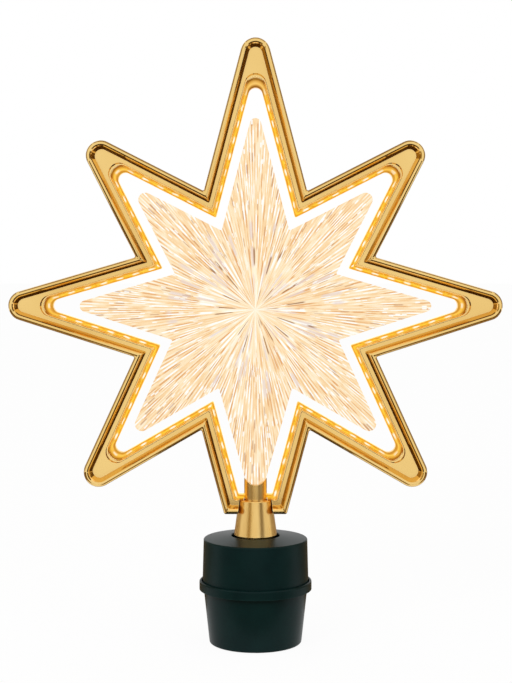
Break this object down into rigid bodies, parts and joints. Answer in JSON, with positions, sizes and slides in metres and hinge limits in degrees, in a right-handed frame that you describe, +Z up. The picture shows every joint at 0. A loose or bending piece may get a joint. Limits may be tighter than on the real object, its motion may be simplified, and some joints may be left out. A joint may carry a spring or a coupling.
{
  "type": "christmas tree topper star",
  "caption": "Gold tree-topper star frame with a lit inner edge and a clear ribbed star turning inside it, on a stem that swivels in a round base with a tree socket.",
  "frame": {"origin": "centre of the underside of the base, where the tree socket opens", "axes": "+Z up along the stem, -Y out of the front of the star, +X to the right as seen from the front"},
  "size_m": [0.2452, 0.056, 0.3011],
  "materials": {
    "gold_frame": "metallised satin gold",
    "gold_metal": "brushed satin gold",
    "amber_cover": "clear amber, lit from behind",
    "strip": "white flexible circuit",
    "light_chip": "lit warm white",
    "clear_panel": "clear ribbed acrylic, lit warm white",
    "green_base": "dark green satin",
    "steel": "plated steel",
    "motor_can": "zinc plated",
    "black_plastic": "moulded black",
    "grey_plastic": "moulded grey",
    "board": "solder mask",
    "felt": "felt",
    "lead": "insulated wire"
  },
  "bodies": {
    "base": {"base_cup": "green_base", "base_cap": "green_base", "case_screws": "steel", "chassis_plate": "grey_plastic", "plate_screws": "steel", "friction_washer": "felt", "gear_motor": "motor_can", "motor_screws": "steel", "motor_leads": "lead", "circuit_board": "board", "board_screws": "steel", "board_chips": "black_plastic", "power_jack": "black_plastic", "switch_body": "grey_plastic", "supply_leads": "lead"},
    "star_frame": {"frame_front": "gold_frame", "frame_back": "gold_frame", "frame_screws": "steel", "light_strip": "strip", "led_chips": "light_chip", "light_cover": "amber_cover", "star_leads": "lead", "stem_sleeve": "gold_metal", "post_bush": "black_plastic"},
    "inner_star": {"star_panel": "clear_panel", "star_post": "gold_metal", "post_pin": "steel", "motor_shaft": "steel"},
    "switch": {"switch_knob": "black_plastic"}
  },
  "joints": [
    {"name": "star_swivel", "type": "hinge", "parent": "base", "child": "star_frame", "pos_m": [0, 0, 0.0453], "axis": [0, 0, 1], "range_deg": [-165, 165]},
    {"name": "inner_star_spin", "type": "hinge", "parent": "base", "child": "inner_star", "pos_m": [0, 0, 0.0453], "axis": [0, 0, 1], "continuous": true},
    {"name": "switch_slide", "type": "slide", "parent": "base", "child": "switch", "axis": [1, 0, 0], "range_m": [-0.002, 0.002]}
  ]
}
